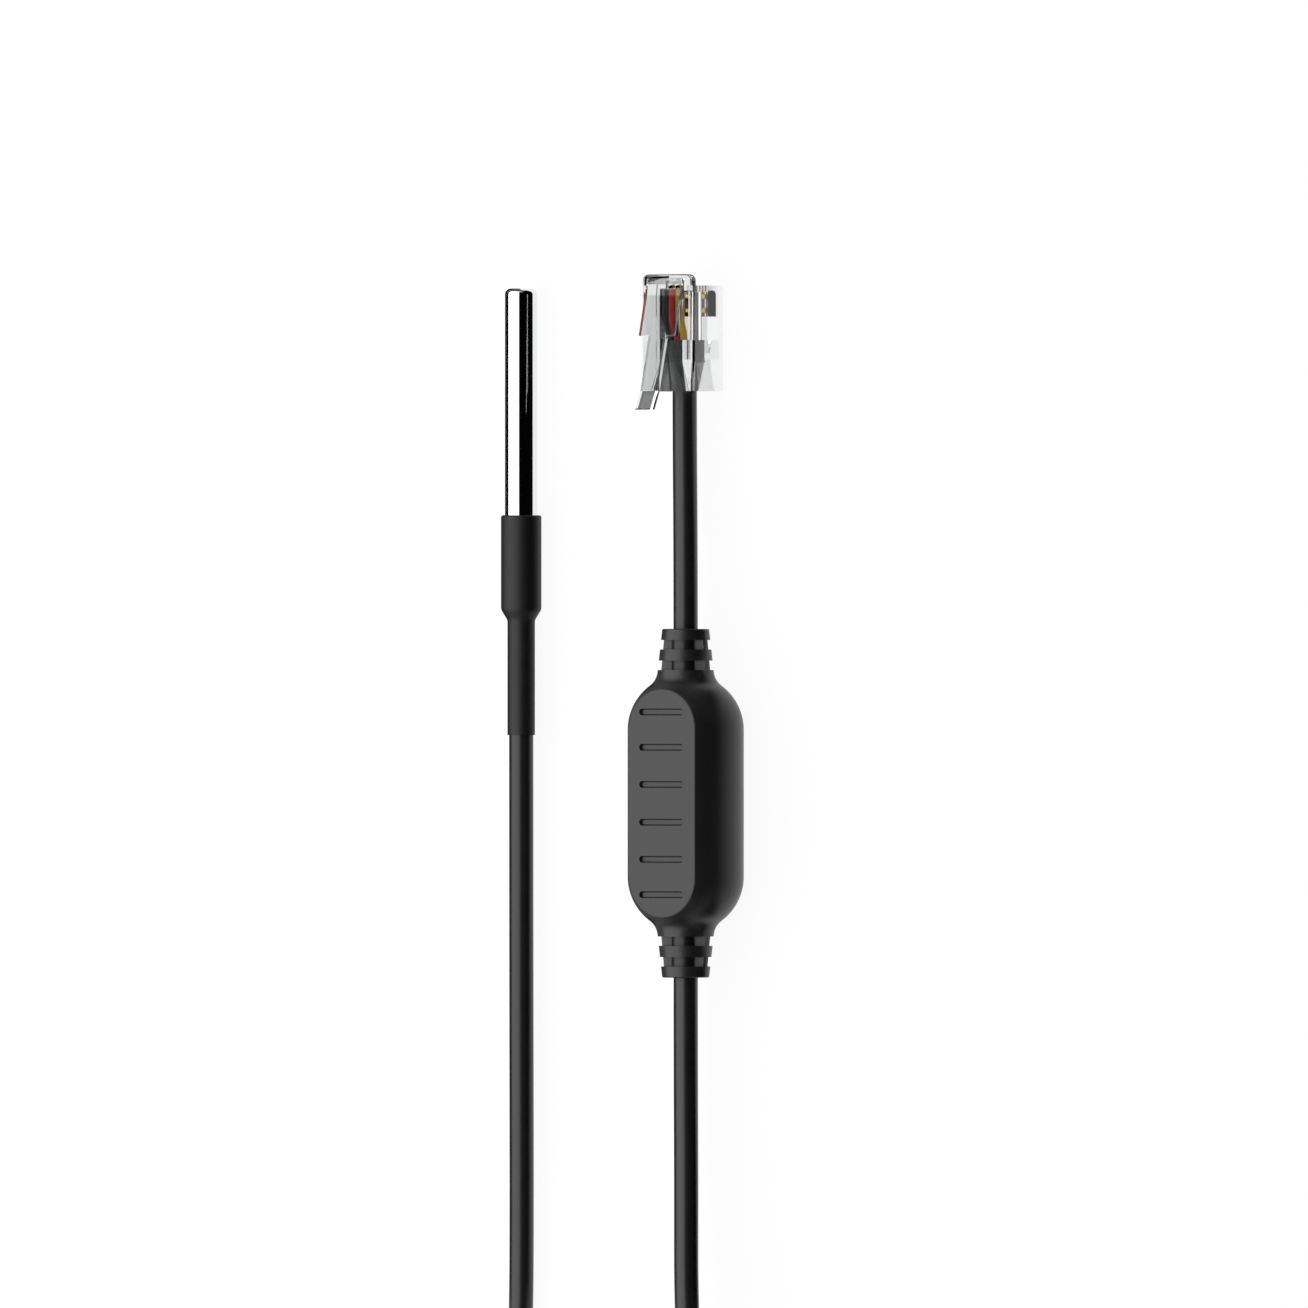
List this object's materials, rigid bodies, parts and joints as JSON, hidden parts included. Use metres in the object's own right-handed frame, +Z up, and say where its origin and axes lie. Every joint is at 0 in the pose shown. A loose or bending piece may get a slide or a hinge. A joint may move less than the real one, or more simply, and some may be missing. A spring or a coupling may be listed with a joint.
{
  "type": "temperature sensor",
  "caption": "Cabled temperature sensor: steel probe with a stepped sleeve, long round cable, moulded in-line module with slotted strain reliefs and a clear modular plug.",
  "frame": {"origin": "under the middle of the in-line module, on its lower flat, which lies on the bench", "axes": "+Y along the module's axis towards the plug and along the probe towards its tip, +Z up"},
  "size_m": [0.0451, 0.1824, 0.0132],
  "materials": {
    "polished_steel": "mirror polished stainless steel",
    "resin": "cast epoxy, hidden in the tube",
    "bead_glass": "glass-coated thermistor bead",
    "heat_shrink": "satin black polyolefin heat-shrink sleeve",
    "cable_jacket": "satin black soft jacket",
    "tie_nylon": "moulded black nylon",
    "moulded_black": "fine spark-eroded black moulding",
    "board_green": "solder mask",
    "chip_black": "moulded chip package",
    "capacitor_ceramic": "ceramic",
    "black_wire": "wire insulation",
    "red_wire": "wire insulation",
    "yellow_wire": "wire insulation",
    "clear_plastic": "clear moulded polycarbonate",
    "gold_plate": "gold-plated contact blade"
  },
  "bodies": {
    "root": {"probe_tube": "polished_steel", "potting_resin": "resin", "thermistor_bead": "bead_glass", "thermistor_lead_1": "black_wire", "thermistor_lead_2": "red_wire", "heat_shrink_sleeve": "heat_shrink", "probe_cable": "cable_jacket", "cable_coil": "cable_jacket", "cable_tie": "tie_nylon", "module_cable": "cable_jacket", "module_shell": "moulded_black", "module_board": "board_green", "converter_chip": "chip_black", "board_capacitor": "capacitor_ceramic", "board_wire_sense_1": "black_wire", "board_wire_sense_2": "red_wire", "board_wire_black": "black_wire", "board_wire_red": "red_wire", "board_wire_yellow": "yellow_wire", "plug_cable": "cable_jacket", "plug_body": "clear_plastic", "plug_wire_black": "black_wire", "plug_wire_red": "red_wire", "plug_wire_yellow": "yellow_wire", "plug_contact_1": "gold_plate", "plug_contact_2": "gold_plate", "plug_contact_3": "gold_plate", "plug_contact_4": "gold_plate"}
  },
  "joints": []
}
